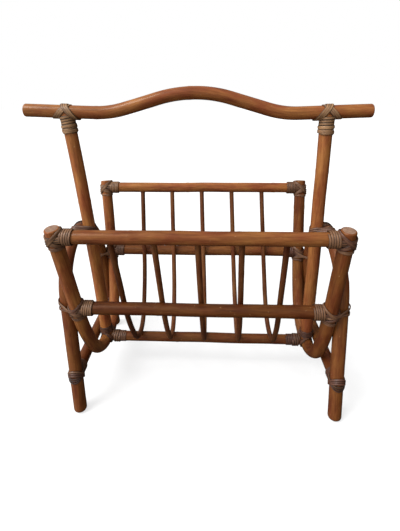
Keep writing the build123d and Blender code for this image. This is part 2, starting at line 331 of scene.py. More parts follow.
print("longest cane:", round(2 * max(line.half for line in lines.values()), 3), "m")

# %% [markdown]
# ## Bending it, with the unevenness of a plant
#
# No cane is quite round or quite straight. Each one here swells and thins by about a hundredth, wanders
# a few tenths of a millimetre from its line, and has the low rings where its leaves once grew, one every
# 10 to 20 cm. The unevenness is a few slow waves, with a seed of its own for each cane. Waves stay
# smooth, where plain random numbers would make the skin look like crumpled paper.

# %% Bend the stock along its line
NODE_RISE, NODE_WIDTH, NODE_GAP = 0.28 * MM, 1.5 * MM, 150.0 * MM
SWELL, SWELL_WAVE, OVAL = 0.012, 310.0 * MM, 0.008
WANDER, WANDER_WAVES = 0.35 * MM, (230.0 * MM, 190.0 * MM)
GRAIN_SHIFT = 1.37
made = {}


def waves(dice, place, longest):
    """A smooth uneven value between about -1 and 1 along a cane."""
    total = np.zeros_like(place)
    for order in (1, 2, 3):
        total += np.sin(place * TURN * order / longest + dice.uniform(0, TURN)) / order
    return total / 1.6


def bend_cane(name, number, ease, tone_and_shade):
    line = lines[name]
    length = 2 * line.half
    step, sides = (2.5 * MM, 20) if line.radius == SLAT else (3.0 * MM, 36)
    stock = straight_stock(name + "_cane", length, line.radius, ease, step, sides)
    dice = np.random.default_rng(100 + number)
    straight = corners(stock)
    remember(stock, straight + np.array((number * GRAIN_SHIFT, 0, 0)), tone_and_shade)

    place = straight[:, 0]
    swell = 1 + SWELL * waves(dice, place, SWELL_WAVE) * line.radius / POLE
    next_node = dice.uniform(NODE_GAP / 5, NODE_GAP)
    while next_node < length:
        swell += NODE_RISE / POLE * np.exp(-((place - next_node) / NODE_WIDTH) ** 2)
        next_node += dice.uniform(0.7, 1.3) * NODE_GAP
    angle = np.arctan2(straight[:, 2], straight[:, 1])
    swell *= 1 + OVAL * np.cos(2 * angle + dice.uniform(0, TURN) + 4.0 * place)

    point, way, square, flat = line.at(place - line.half)
    calm = np.sin(math.pi * np.clip(place / length, 0, 1))
    sway, weave = (waves(dice, place, longest)[:, None] for longest in WANDER_WAVES)
    drift = WANDER * calm[:, None] * (sway * square + weave * flat)
    bent = point + drift + (straight[:, 1] * swell)[:, None] * square
    bent += (straight[:, 2] * swell)[:, None] * flat
    set_corners(stock, bent)
    only(stock)
    bpy.ops.object.shade_smooth_by_angle(angle=math.radians(50))
    made[name] = stock


print("a leaf ring every", NODE_GAP, "m or so")

# %% Bend all the canes
SAWN, WORN_FOOT, HIDDEN = 1.8 * MM, 5.0 * MM, 0.8 * MM
# Each cane's tone darkens its colour. It is partly the cane's own age and colour and partly painted
# shade: the middle rails under the top rails, the low canes and the canes on the right, away from the
# lamp, get darker tones.
CANE_TONES_AND_SHADE = {"handle": 0.3, "left_post": 0.0, "right_post": 0.25, "left_end_frame": 0.28,
         "right_end_frame": 0.68, "left_leg_arch": 0.66, "right_leg_arch": 0.72, "left_stretcher": 0.8,
         "right_stretcher": 0.8, "front_top_rail": 0.52, "back_top_rail": 0.15,
         "front_middle_rail": 0.95, "back_middle_rail": 0.72, "bottom_rail": 0.8}
SLAT_TONE, SLAT_TONE_STEP = 0.45, 0.1
for number, name in enumerate(lines, 1):
    if name == "handle" or name.endswith("end_frame"):
        ease = SAWN
    elif name.endswith("leg_arch"):
        ease = WORN_FOOT
    else:
        ease = HIDDEN
    bend_cane(name, number, ease, CANE_TONES_AND_SHADE.get(name, SLAT_TONE + SLAT_TONE_STEP * (number % 4)))
print("canes bent:", len(made))

# %% [markdown]
# ## Strips of cane peel
#
# The joints are wrapped with strips split from the skin of the cane: about 3 mm wide, 1 mm thick, flat
# underneath and a little crowned on top. They pass over each other in layers, and the eye reads every
# strip, so a plain collar would not do. A cube with its long edges bevelled is cut into short lengths,
# so that it can turn, and then copied. Each copy is laid along its own path, with its crown outwards.

# %% One strip of peel
SHORT_RINGS, LONG_RINGS, EDGE_BEVEL = 47, 239, 0.26


def peel_stock(name, rings):
    """A strip one unit long, wide and thick, along X."""
    bpy.ops.mesh.primitive_cube_add(size=1.0, location=(0.5, 0, 0))
    strip = bpy.context.object
    strip.name = name
    bpy.ops.object.transform_apply(location=True, rotation=True, scale=True)
    select_edges(strip.data, lambda a, b: abs(a.x - b.x) > 0.5)
    bpy.ops.object.mode_set(mode="EDIT")
    bpy.ops.mesh.select_mode(type="EDGE")
    bpy.ops.mesh.bevel(offset=EDGE_BEVEL, segments=2, affect="EDGES")
    bpy.ops.object.mode_set(mode="OBJECT")
    select_edges(strip.data, lambda a, b: abs(a.x - b.x) > 0.5)
    bpy.ops.object.mode_set(mode="EDIT")
    bpy.ops.mesh.subdivide(number_cuts=rings)
    bpy.ops.object.mode_set(mode="OBJECT")
    only(strip)
    bpy.ops.object.shade_smooth_by_angle(angle=math.radians(60))
    return strip


short_peel = peel_stock("short_peel", SHORT_RINGS)
long_peel = peel_stock("long_peel", LONG_RINGS)
print("points in a strip:", len(short_peel.data.vertices), len(long_peel.data.vertices))

# %% Lay a strip along a path
PEEL_WIDTH, PEEL_THICK, CROWN = 3.3 * MM, 1.15 * MM, 0.16
TAIL, TUCK, LONGEST_SHORT = 3.5 * MM, 1.6 * MM, 120.0 * MM
TWIST, TWIST_WAVE, WEAVE, WEAVE_WAVE = 0.06, 50.0 * MM, 0.12 * MM, 30.0 * MM
WIDTHS, TONE_SPREAD, PEEL_SHIFT = (0.9, 1.08), 0.22, 0.731
PATH_STEPS, SMOOTHINGS = 400, 6
peel_dice = np.random.default_rng(7)
strip_count = 0


def smooth_rows(values):
    for _ in range(SMOOTHINGS):
        values[1:-1] = (values[:-2] + 2 * values[1:-1] + values[2:]) / 4
    return values


def lay_strip(path, outward, width, tone_and_shade):
    """A copy of the strip that follows a path, with its crown facing outwards."""
    global strip_count
    strip_count += 1
    steps = np.linalg.norm(np.diff(path, axis=0), axis=1)
    along = np.concatenate(([0.0], np.cumsum(steps)))
    length = along[-1]
    stock = long_peel if length > LONGEST_SHORT else short_peel
    strip = stock.copy()
    strip.data = stock.data.copy()
    bpy.context.scene.collection.objects.link(strip)

    shape = corners(strip)
    width = width * peel_dice.uniform(*WIDTHS)
    grid = np.linspace(0, length, PATH_STEPS)
    centre = np.stack([np.interp(grid, along, path[:, i]) for i in range(3)], axis=1)
    out = np.stack([np.interp(grid, along, outward[:, i]) for i in range(3)], axis=1)
    centre, out = smooth_rows(centre), smooth_rows(out)
    step_in_mm = np.gradient(centre, axis=0) / MM
    out += TWIST * waves(peel_dice, grid, TWIST_WAVE)[:, None] * np.cross(out, step_in_mm)
    way = np.gradient(centre, axis=0)
    way /= np.linalg.norm(way, axis=1)[:, None]
    aside = np.cross(out, way)
    aside /= np.linalg.norm(aside, axis=1)[:, None]
    out = np.cross(way, aside)
    tail = np.minimum(grid, length - grid) / TAIL
    centre = centre - out * (TUCK * np.clip(1 - tail, 0, 1) ** 2)[:, None]
    centre = centre + aside * (WEAVE * waves(peel_dice, grid, WEAVE_WAVE))[:, None]

    def at(values):
        return np.stack([np.interp(shape[:, 0] * length, grid, values[:, i]) for i in range(3)], axis=1)

    crown = np.where(shape[:, 2] > 0, CROWN * (1 - (2 * shape[:, 1]) ** 2), 0.0)
    placed = at(centre) + at(aside) * (shape[:, 1] * width)[:, None]
    placed += at(out) * ((shape[:, 2] + crown) * PEEL_THICK)[:, None]
    straight = np.stack([shape[:, 0] * length + strip_count * PEEL_SHIFT, shape[:, 1] * width,
                         shape[:, 2] * PEEL_THICK], axis=1)
    shade = tone_and_shade + peel_dice.uniform(-TONE_SPREAD, TONE_SPREAD)
    remember(strip, straight, float(np.clip(shade, 0, 1)))
    set_corners(strip, placed)
    return strip


print("strips about", PEEL_WIDTH, "m wide and", PEEL_THICK, "m thick")

# %% [markdown]
# ## Ways to wrap a joint
#
# A binder uses few moves. A sleeve winds tightly round one cane. A slanted turn goes round one cane
# higher in front than behind. A belt is pulled tight round two canes, side by side or crossing. A turn
# over a joint is a slanting belt round a cane and the one that butts against it, so two sets of them
# cross in an X on the joint. A saddle comes along the butted cane, round the back of the other and back
# along the other side. Each helper gives the path of one strip and the outward direction along it.

# %% Sleeve and slanted turn
UNDER, OVER = 0.5 * MM, 1.35 * MM
LAPPED = 0.2


def sleeve(name, start, end, turns, lift=UNDER, phase=0.0, flare=0.0):
    """A tight winding along one cane. Flare lifts its far end."""
    line = lines[name]
    share = np.linspace(0, 1, int(40 * turns))
    angle = phase + TURN * turns * share
    point, way, square, flat = line.at(start + (end - start) * share)
    outward = np.cos(angle)[:, None] * square + np.sin(angle)[:, None] * flat
    reach = line.radius + lift + flare * share ** 6
    return point + outward * reach[:, None], outward


def wound(name, tip, back, start, end, turns, *more):
    """A sleeve between two distances back from a place on a cane."""
    return sleeve(name, tip - back * start, tip - back * end, turns, *more)


def slanted_turn(name, place, toward, near, far, lift):
    """A turn round a cane that lies at one distance along it on one side, and at another behind."""
    line = lines[name]
    reach, shift = (near - far) / 2, (near + far) / 2
    toward = unit(toward)
    square, flat = (line.at(place)[i][0] for i in (2, 3))
    facing = math.atan2(np.dot(toward, flat), np.dot(toward, square))
    angle = np.linspace(-LAPPED, TURN + LAPPED, 60)
    point, way, square, flat = line.at(place + shift + reach * np.cos(angle))
    outward = np.cos(angle + facing)[:, None] * square + np.sin(angle + facing)[:, None] * flat
    return point + outward * (line.radius + lift), outward


print("layers lie", UNDER, "and", OVER, "m above the cane")

# %% Belt and turn over a joint
def outline(points):
    """The order of the outermost points of a flat set, anticlockwise."""
    order = sorted(range(len(points)), key=lambda i: (points[i][0], points[i][1]))

    def half(indices):
        chain = []
        for i in indices:
            while len(chain) > 1:
                a, b = points[chain[-2]], points[chain[-1]]
                if (b[0] - a[0]) * (points[i][1] - a[1]) - (b[1] - a[1]) * (points[i][0] - a[0]) > 1e-12:
                    break
                chain.pop()
            chain.append(i)
        return chain

    return half(order)[:-1] + half(order[::-1])[:-1]


def tied_round(shapes, first, second, slope=(0.0, 0.0), beyond=None):
    """A closed path round several ovals in the plane of two directions.

    Each oval is its centre, and its half widths along the two directions. The path rises out of the
    plane by the slopes along the two directions. Beyond is a point and a direction: every oval but the
    first counts only on that side of the point.
    """
    first, second = unit(first), unit(second)
    third = np.cross(first, second)
    origin = np.mean([centre for centre, wide, high in shapes], axis=0)
    flat = []
    for order, (centre, wide, high) in enumerate(shapes):
        a, b = np.dot(centre - origin, first), np.dot(centre - origin, second)
        for angle in np.linspace(0, TURN, 48, endpoint=False):
            place = (a + wide * math.cos(angle), b + high * math.sin(angle))
            if beyond and order:
                from_point = origin + place[0] * first + place[1] * second - beyond[0]
                if np.dot(from_point, beyond[1]) < 0:
                    continue
            flat.append(place)
    ring = outline(flat)
    start = max(range(len(ring)), key=lambda i: flat[ring[i]][1])
    ring = ring[start:] + ring[:start + 4]
    ordered = np.array([flat[i] for i in ring])
    path = origin + ordered[:, :1] * first + ordered[:, 1:] * second
    path = path + (ordered @ np.array(slope))[:, None] * third
    way = np.gradient(path, axis=0)
    outward = np.cross(way, third)
    outward /= np.linalg.norm(outward, axis=1)[:, None]
    return path, outward


def joint_axes(name, place, butted):
    """The middle of a joint, and the ways along the cane, to the butted cane and aside."""
    centre, way = (lines[name].at(place)[i][0] for i in (0, 1))
    inward = unit(lines[butted].middle - centre)
    inward = unit(inward - np.dot(inward, way) * way)
    return centre, way, inward, np.cross(way, inward)


def over_joint(name, place, butted, near, far, lift):
    """A turn over a joint: at one height where the butted cane comes in, and at another behind."""
    line, other = lines[name], lines[butted]
    centre, way, inward, aside = joint_axes(name, place, butted)
    slant = unit(2 * line.radius * inward + (near - far) * way)
    normal = np.cross(aside, slant)
    height = (near + far) / 2
    down_rail = height * np.dot(way, normal) / np.dot(inward, normal)
    own, butt = line.radius + lift, other.radius + lift
    shapes = [(centre + way * height, own, own / abs(np.dot(slant, inward))),
              (centre + inward * down_rail, butt, butt / abs(np.dot(slant, way)))]
    return tied_round(shapes, aside, slant, beyond=(centre, inward))


print("strips can now be laid as sleeves, slanted turns, belts and turns over a joint")

# %% A saddle round the outer side of a cane
SADDLE_START, SADDLE_TAIL = 2.0 * MM, 16.0 * MM


def saddle(name, place, butted, shift):
    """Along one side of the butted cane, round the far side of the other, and back."""
    centre, way, inward, aside = joint_axes(name, place, butted)
    angle = np.linspace(TURN / 4, 3 * TURN / 4, 34)
    far_out = np.cos(angle)[:, None] * inward + np.sin(angle)[:, None] * aside
    round_far = centre + way * shift + (lines[name].radius + UNDER) * far_out
    grip = math.sqrt((lines[butted].radius + UNDER) ** 2 - shift ** 2)
    runs, outs = [], []
    for sign in (1, -1):
        along = np.linspace(SADDLE_TAIL, SADDLE_START, 8)[:, None]
        at_side = centre + way * shift + along * inward + sign * grip * aside
        runs.append(at_side)
        outs.append(np.broadcast_to(unit(sign * grip * aside + shift * way), at_side.shape))
    path = np.concatenate([runs[0], round_far, runs[1][::-1]])
    outward = np.concatenate([outs[0], far_out, outs[1][::-1]])
    return path, outward


def bind(name, strips, stands_for, tone_and_shade):
    """Lay all the strips of one joint and join them into one binding."""
    laid = [lay_strip(path, outward, width, tone_and_shade) for path, outward, width in strips]
    bpy.ops.object.select_all(action="DESELECT")
    for strip in laid:
        strip.select_set(True)
    bpy.context.view_layer.objects.active = laid[0]
    bpy.ops.object.join()
    binding = bpy.context.object
    binding.name = name
    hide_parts(stands_for)
    made[stands_for] = binding
    print(name, "has", len(laid), "strips and", len(binding.data.vertices), "points")


# %% [markdown]
# ## The handle's joints
#
# Where a post meets the handle, the strips cross over the handle in an X, three side by side each way,
# then wind down the post and finish in two thick turns that stand proud. The two joints are mirror
# images, as a binder works with the same hand on both: on the left one set of strips lies on top, and
# on the right the other.

# %% Bind the handle to the posts
WIDE, NARROW, FINE = 3.6 * MM, 2.8 * MM, 2.4 * MM
BANDS, BAND_STEP, BAND_ABOVE, BAND_BELOW = 3, 3.1 * MM, -5.6 * MM, 11.2 * MM
# Each winding: from and to below the post's top, turns, lift, where it starts, flare and width.
POST_WINDINGS = [(16.0 * MM, 2.6 * MM, 3.6, UNDER, 1.0, 1.5 * MM, 4.4 * MM),
                 (25.5 * MM, 14.5 * MM, 3.4, UNDER, 2.0, 0.0, WIDE),
                 (25.2 * MM, 20.8 * MM, 2.3, OVER, 0.5, 0.0, 2.7 * MM),
                 (18.6 * MM, 15.4 * MM, 2.1, OVER, 3.0, 0.0, 2.5 * MM)]
HANDLE_TONE = 0.25

for name, side in SIDES.items():
    post = name + "_post"
    crossing = lines["handle"].nearest((side * POST_TOP_X, 0, POSTS[name][1]))
    strips = []
    for set_side, lift in ((-side, OVER), (side, UNDER)):
        for band in range(BANDS):
            above, below = (set_side * (BAND_STEP * band + place) for place in (BAND_ABOVE, BAND_BELOW))
            strips.append((*slanted_turn("handle", crossing, (0, 0, 1), above, below, lift), WIDE))
    for *winding, width in POST_WINDINGS:
        strips.append((*wound(post, lines[post].half, 1, *winding), width))
    bind(name + "_handle_binding", strips, name + "_handle_lashing", HANDLE_TONE)

# %% [markdown]
# ## The corners of the rails
#
# A rail butts against the inner side of an arm. Three saddles hold it, turns over the joint cross on
# top of them, one sleeve goes round the arm below and another round the rail, where it covers the
# tails. At the middle rails, four slanting belts also tie the arm to the leg outside it.

# %% Sizes of the corner bindings
ROWS = range(3)
SADDLE_STEP = 3.0 * MM
# Each set of turns: height at the rail, height behind, step between turns behind, lift.
CORNER_TURNS = [(-9.0 * MM, 4.0 * MM, -3.0 * MM, UNDER + 0.5 * MM),
                (8.5 * MM, -9.5 * MM, 3.0 * MM, OVER + 0.2 * MM)]
ARM_WINDING = (14.5 * MM, 10.8 * MM, 1.9)
RAIL_WINDING, RAIL_PHASE = (21.0 * MM, 8.5 * MM, 4.4, OVER), 0.4
BELT_SLOPES, BELT_TILT, BELT_SCATTER = (0.34, 0.22, -0.2, -0.36), 0.05, 1.5 * MM
BELT_REACH, TO_THE_LEG = POLE + OVER, 18.0 * MM
# The darker tones of the middle and right-hand corners are partly painted shade, for corners that sit
# lower and away from the lamp.
CORNER_TONES_AND_SHADE = {("top", "left"): 0.55, ("top", "right"): 0.85, ("middle", "left"): 0.8,
                ("middle", "right"): 0.9}


def belts(joint, leg, side):
    """Slanting belts round an arm at a joint and the leg outside it."""
    place = lines[leg].nearest(joint + np.array((side * TO_THE_LEG, 0, 0)))
    on_leg = lines[leg].at(place)[0][0]
    shapes = [(joint, BELT_REACH, 1.02 * BELT_REACH), (on_leg, BELT_REACH, BELT_REACH)]
    tied = []
    for slope in BELT_SLOPES:
        path, outward = tied_round(shapes, (1, 0, 0), (0, 1, 0), (slope, BELT_TILT))
        raised = np.array((0, 0, peel_dice.uniform(-BELT_SCATTER, BELT_SCATTER)))
        tied.append((path + raised, outward, FINE))
    return tied


print("shades of the corners:", CORNER_TONES_AND_SHADE)

# %% Bind the top and middle rails
for name, side in SIDES.items():
    frame_cane = name + "_end_frame"
    for face_name in FACES:
        for level in ("top", "middle"):
            rail = "_".join((face_name, level, "rail"))
            _, y, z = lines[rail].middle
            joint = np.array((end_x(side, z), y, z))
            place = lines[frame_cane].nearest(joint)
            climb = math.copysign(1.0, place)
            strips = [(*saddle(frame_cane, place, rail, row * SADDLE_STEP), PEEL_WIDTH)
                      for row in (-1, 0, 1)]
            for near, far, step, lift in CORNER_TURNS:
                for row in ROWS:
                    ends = climb * (near + row * step / 4), climb * (far + row * step)
                    strips.append((*over_joint(frame_cane, place, rail, *ends, lift), NARROW))
            strips.append((*wound(frame_cane, place, climb, *ARM_WINDING), FINE))
            round_rail = wound(rail, side * lines[rail].half, side, *RAIL_WINDING, RAIL_PHASE * side)
            strips.append((*round_rail, NARROW))
            if level == "middle":
                strips += belts(joint, name + "_leg_arch", side)
            corner = "_".join((face_name, name, level))
            bind(corner + "_binding", strips, corner + "_lashing", CORNER_TONES_AND_SHADE[level, name])

# %% [markdown]
# ## Arches, feet of the posts, and stretchers
#
# The top of a leg arch is wrapped, and crosses the post, so belts are tied round both canes on each
# diagonal. The foot of a post stands on the bend of the end frame, where the bottom rail also meets it,
# so slanted turns go round the bend on both sides of them. A stretcher butts against two legs and is
# bound like a small rail.

# %% Bind the arches to the posts
BELT_ANGLE = math.radians(34)
ACROSS_ARCH, ACROSS_POST = math.sin(BELT_ANGLE), math.cos(BELT_ANGLE)
ARCH_DROP, ARCH_STEP, ARCH_SINK = 0.7 * MM, 2.4 * MM, 0.8 * MM
ON_ARCH_STEP, ON_POST_STEP = 1.8 * MM, 1.5 * MM
ARCH_WINDING, ARCH_TONE = (31.0 * MM, 2.5 * MM, 10.4, UNDER - 0.2 * MM), 0.9

for name in SIDES:
    arch, post = name + "_leg_arch", name + "_post"
    arch_centre = lines[arch].at(0.0)[0][0]
    post_centre = lines[post].at(lines[post].nearest(arch_centre))[0][0]
    level = arch_centre[2]
    strips = []
    for slant, lift in ((1, UNDER), (-1, UNDER + 0.6 * MM)):
        diagonal = np.array((0, slant * ACROSS_POST, ACROSS_ARCH))
        offset = np.array((0, -slant * ACROSS_ARCH, ACROSS_POST))
        thick = POLE + lift
        for row in (-1, 0, 1):
            base = offset * (ARCH_STEP * row - ARCH_SINK)
            on_arch = np.array((arch_centre[0], 0, level - ARCH_DROP)) + base
            on_arch = on_arch - diagonal * row * ON_ARCH_STEP
            on_post = np.array((post_centre[0], 0, level)) + base
            on_post = on_post + diagonal * row * ON_POST_STEP
            shapes = [(on_arch, thick, thick / ACROSS_ARCH), (on_post, thick, thick / ACROSS_POST)]
            strips.append((*tied_round(shapes, (1, 0, 0), diagonal), NARROW))
    for way in (-1, 1):
        strips.append((*wound(arch, 0.0, -way, *ARCH_WINDING), NARROW))
    bind(name + "_arch_binding", strips, name + "_arch_lashing", ARCH_TONE)

# %% Bind the feet of the posts
FOOT_NEAR, NEAR_STEP, FOOT_FAR, FAR_STEP = 10.5 * MM, 2.4 * MM, -11.0 * MM, 2.8 * MM
FOOT_WINDING = (7.5 * MM, 18.0 * MM, 3.6)
# Each winding: from and to before the rail's end, turns, lift and where it starts.
BOTTOM_WINDINGS = [(30.0 * MM, 8.5 * MM, 7.2, UNDER, 0.0), (20.0 * MM, 9.5 * MM, 3.0, OVER, 1.0)]
# The near-black tone of the foot bindings is partly painted shade, for low joints that sit in shade.
FOOT_TONE_AND_SHADE = 0.95

for name, side in SIDES.items():
    post = name + "_post"
    toward = (-side, 0, 1)
    strips = []
    for slant, lift in ((1, UNDER), (-1, OVER)):
        for row in ROWS:
            near, far = slant * (FOOT_NEAR + NEAR_STEP * row), slant * (FOOT_FAR + FAR_STEP * row)
            strips.append((*slanted_turn(name + "_end_frame", 0.0, toward, near, far, lift), NARROW))
    strips.append((*wound(post, -lines[post].half, -1, *FOOT_WINDING), NARROW))
    for winding in BOTTOM_WINDINGS:
        tip = side * lines["bottom_rail"].half
        strips.append((*wound("bottom_rail", tip, side, *winding), NARROW))
    bind(name + "_foot_binding", strips, name + "_foot_lashing", FOOT_TONE_AND_SHADE)

# %% Bind the stretchers to the legs
LEG_SADDLE_STEP, LEG_NEAR, LEG_FAR = 2.6 * MM, 8.0 * MM, -8.0 * MM
# The near-black tone of the stretcher bindings is partly painted shade, for low joints that sit in shade.
STRETCHER_WINDING, STRETCHER_TONE_AND_SHADE = (21.0 * MM, 9.0 * MM, 4.2, OVER), 0.92

for name, side in SIDES.items():
    leg, stretcher = name + "_leg_arch", name + "_stretcher"
    for face_name, face in FACES.items():
        tip = face * lines[stretcher].half
        place = lines[leg].nearest((leg_x(side, STRETCHER_Z), tip, STRETCHER_Z))
        climb = -math.copysign(1.0, place)
        strips = [(*saddle(leg, place, stretcher, row * LEG_SADDLE_STEP), NARROW) for row in (-1, 1)]
        for slant, lift in ((climb, UNDER + 0.5 * MM), (-climb, OVER + 0.2 * MM)):
            for row in ROWS:
                near, far = slant * (LEG_NEAR + row * MM), slant * (LEG_FAR + 3 * row * MM)
                strips.append((*over_joint(leg, place, stretcher, near, far, lift), NARROW))
        strips.append((*wound(stretcher, tip, face, *STRETCHER_WINDING), NARROW))
        corner = "_".join((face_name, name, "stretcher"))
        bind(corner + "_binding", strips, corner + "_lashing", STRETCHER_TONE_AND_SHADE)

for stock in (short_peel, long_peel):
    bpy.data.objects.remove(stock)
print("bindings:", sum(1 for name in made if name.endswith("lashing")), "strips:", strip_count)

# %% [markdown]
# ## Varnished cane
#
# The skin of a cane is brown with fine darker and lighter streaks along it. Old varnish sits on top:
# satin, with a warm gloss, and worn matt in places, with a few small pale chips. The streaks are noise
# stretched ten to twenty times along the straight cane's coordinates, and broader patches turn the brown
# more russet or more olive. A wood texture node would draw rings and boards, which a cane does not have.
# How dark and old a cane looks comes from its own tone, which also paints shade on canes that sit in
# shade.

# %% Small helpers for finishes
def new_finish(name):
    finish = bpy.data.materials.new(name)
    finish.use_nodes = True
    tree = finish.node_tree
    tree.nodes.clear()
    end = tree.nodes.new("ShaderNodeOutputMaterial")
    skin = tree.nodes.new("ShaderNodeBsdfPrincipled")
    tree.links.new(skin.outputs["BSDF"], end.inputs["Surface"])
    return finish, tree, skin


def feed(tree, node, inputs):
    """Give a node's inputs their links or their plain values."""
    for socket, value in inputs.items():
        if isinstance(value, bpy.types.NodeSocket):
            tree.links.new(value, node.inputs[socket])
        else:
            node.inputs[socket].default_value = value


def attribute(tree, name, output):
    node = tree.nodes.new("ShaderNodeAttribute")
    node.attribute_name = name
    return node.outputs[output]


def streaks(tree, where, stretch, detail=4.0, rough=0.6, warp=0.0):
    """Noise whose grains are stretched by different amounts in the three directions."""
    mapping = tree.nodes.new("ShaderNodeMapping")
    feed(tree, mapping, {"Scale": stretch, "Vector": where})
    noise = tree.nodes.new("ShaderNodeTexNoise")
    feed(tree, noise, {"Vector": mapping.outputs["Vector"], "Scale": 1.0, "Detail": detail,
                       "Roughness": rough, "Distortion": warp})
    return noise.outputs["Fac"]


def ramp(tree, value, stops):
    node = tree.nodes.new("ShaderNodeValToRGB")
    row = node.color_ramp.elements
    while len(row) < len(stops):
        row.new(0.5)
    for element, (place, colour) in zip(row, stops):
        element.position, element.color = place, (*colour, 1.0)
    feed(tree, node, {"Fac": value})
    return node.outputs["Color"]


def grey(tree, value, low, high, dark=0.0, light=1.0):
    """Stretches a value's range from low to high over dark to light."""
    node = tree.nodes.new("ShaderNodeMapRange")
    feed(tree, node, {"Value": value, "From Min": low, "From Max": high,
                      "To Min": dark, "To Max": light})
    return node.outputs["Result"]


def mixed(tree, share, first, second, kind="MIX"):
    node = tree.nodes.new("ShaderNodeMix")
    node.data_type = "RGBA"
    node.blend_type = kind
    feed(tree, node, {0: share, 6: first, 7: second})
    return node.outputs[2]


def maths(tree, kind, first, second):
    node = tree.nodes.new("ShaderNodeMath")
    node.operation = kind
    feed(tree, node, {0: first, 1: second})
    return node.outputs[0]


def add_bump(tree, skin, height, strength, distance):
    bump = tree.nodes.new("ShaderNodeBump")
    feed(tree, bump, {"Strength": strength, "Distance": distance, "Height": height})
    feed(tree, skin, {"Normal": bump.outputs["Normal"]})


print("finishes so far:", len(bpy.data.materials))

# %% The varnished cane
RUSSET, OLIVE = (0.82, 0.6, 0.6), (1.12, 1.17, 0.96)
# The first two colours on the next line darken a cane by its tone. The darker one stands for aged varnish
# and also for painted shade.
NEW_AND_UNSHADED, AGED_AND_SHADED, BARE = (1.0, 1.0, 1.0), (0.26, 0.205, 0.15), (0.42, 0.25, 0.12, 1.0)
VARNISH_TINT = (1.0, 0.8, 0.62, 1.0)
# How often each pattern changes in a metre: along the cane, and across it.
FINE_GRAIN, BROAD_GRAIN, THIN_CANE = (60, 1100), (22, 210), 1.4
PATCHES, CHIPS, WEAR = (26, 70, 70), (210, 900, 900), (30, 160, 160)


def varnished_cane(name, light, middle, dark, along=1.0):
    finish, tree, skin = new_finish(name)
    where = attribute(tree, "straight", "Vector")
    tone_and_shade = attribute(tree, "tone_and_shade", "Fac")
    fine = streaks(tree, where, (FINE_GRAIN[0] * along, FINE_GRAIN[1], FINE_GRAIN[1]), 3.0)
    broad = streaks(tree, where, (BROAD_GRAIN[0] * along, BROAD_GRAIN[1], BROAD_GRAIN[1]), warp=0.5)
    patches = streaks(tree, where, PATCHES, 3.0, 0.55)
    grain = maths(tree, "ADD", maths(tree, "MULTIPLY", fine, 0.4), maths(tree, "MULTIPLY", broad, 0.6))
    brown = ramp(tree, grain, [(0.34, dark), (0.5, middle), (0.66, light)])
    patchy = mixed(tree, 1.0, brown, ramp(tree, patches, [(0.35, RUSSET), (0.65, OLIVE)]), "MULTIPLY")
    # The tone darkens the colour, for aged varnish and as painted shade on canes in shade.
    aged_and_shaded = mixed(tree, 1.0, patchy, ramp(tree, tone_and_shade, [(0.0, NEW_AND_UNSHADED), (1.0, AGED_AND_SHADED)]), "MULTIPLY")
    bare = grey(tree, streaks(tree, where, CHIPS, 2.0), 0.72, 0.79)
    worn = grey(tree, streaks(tree, where, WEAR, rough=0.65), 0.3, 0.75, 0.27, 0.5)
    feed(tree, skin, {"Base Color": mixed(tree, bare, aged_and_shaded, BARE), "Roughness": worn,
                      "Specular IOR Level": 0.2, "Specular Tint": VARNISH_TINT,
                      "Coat Weight": 0.1, "Coat Roughness": 0.12})
    height = maths(tree, "SUBTRACT", grain, maths(tree, "MULTIPLY", bare, 0.5))
    add_bump(tree, skin, height, 0.45, 0.25 * MM)
    return finish


thick_finish = varnished_cane("varnished_cane", (0.36, 0.143, 0.052), (0.27, 0.099, 0.033),
                              (0.165, 0.055, 0.019))
thin_finish = varnished_cane("varnished_thin_cane", (0.28, 0.115, 0.05), (0.2, 0.075, 0.031),
                             (0.12, 0.042, 0.017), THIN_CANE)
print("cane finishes:", thick_finish.name, thin_finish.name)

# %% [markdown]
# The sawn end of a cane shows its pores: fine dark dots in a paler, pinkish wood, drier than the skin.
# A Voronoi texture gives evenly crowded round dots, which noise does not.

# %% The sawn ends
PORES, CLOUD = (0.0, 1500.0, 1500.0), (0.0, 240, 240)
NEAR_END, FACING_OUT = 2.0 * MM, 0.98


def sawn_finish():
    finish, tree, skin = new_finish("sawn_end")
    where = attribute(tree, "straight", "Vector")
    flatten = tree.nodes.new("ShaderNodeMapping")
    feed(tree, flatten, {"Scale": PORES, "Vector": where})
    pores = tree.nodes.new("ShaderNodeTexVoronoi")
    feed(tree, pores, {"Vector": flatten.outputs["Vector"], "Scale": 1.0})
    dots = grey(tree, pores.outputs["Distance"], 0.12, 0.4)
    cloud = streaks(tree, where, CLOUD, 3.0)
    wood = ramp(tree, cloud, [(0.3, (0.17, 0.09, 0.055)), (0.7, (0.28, 0.165, 0.105))])
    pored = mixed(tree, dots, (0.12, 0.055, 0.03, 1.0), wood)
    feed(tree, skin, {"Base Color": pored, "Roughness": 0.55})
    add_bump(tree, skin, dots, 0.5, 0.2 * MM)
    return finish


end_finish = sawn_finish()


def paint_sawn_ends(piece, name):
    """Give the flat end faces of a cane the sawn finish."""
    line = lines[name]
    piece.data.materials.append(end_finish)
    count = 0
    for sign in (-1, 1):
        point, way = (line.at(sign * line.half)[i][0] for i in (0, 1))
        for face in piece.data.polygons:
            near = np.linalg.norm(np.array(face.center) - point) < NEAR_END
            if near and sign * np.dot(np.array(face.normal), way) > FACING_OUT:
                face.material_index = 1
                count += 1
    return count


for name in lines:
    piece = made[name]
    thin = name.startswith("slat")
    piece.data.materials.append(thin_finish if thin else thick_finish)
    print(name, "sawn faces:", paint_sawn_ends(piece, name))

# %% [markdown]
# ## The peel of the bindings
#
# The strips have had the same varnish, but they are duller and greyer than the canes: khaki on top,
# pinkish where they are rubbed, and darkened at their edges as painted shade for the gaps between them.
# Each strip has its own tone, partly its own colour and partly painted shade, and fine fibres run along
# it.

# %% The peel finish
PAINTED_CREASE_SHADE, EDGE_FROM, EDGE_TO = 0.22, 0.28, 0.5
FIBRES, RUBBED = (45, 2600, 900), (90, 120, 120)


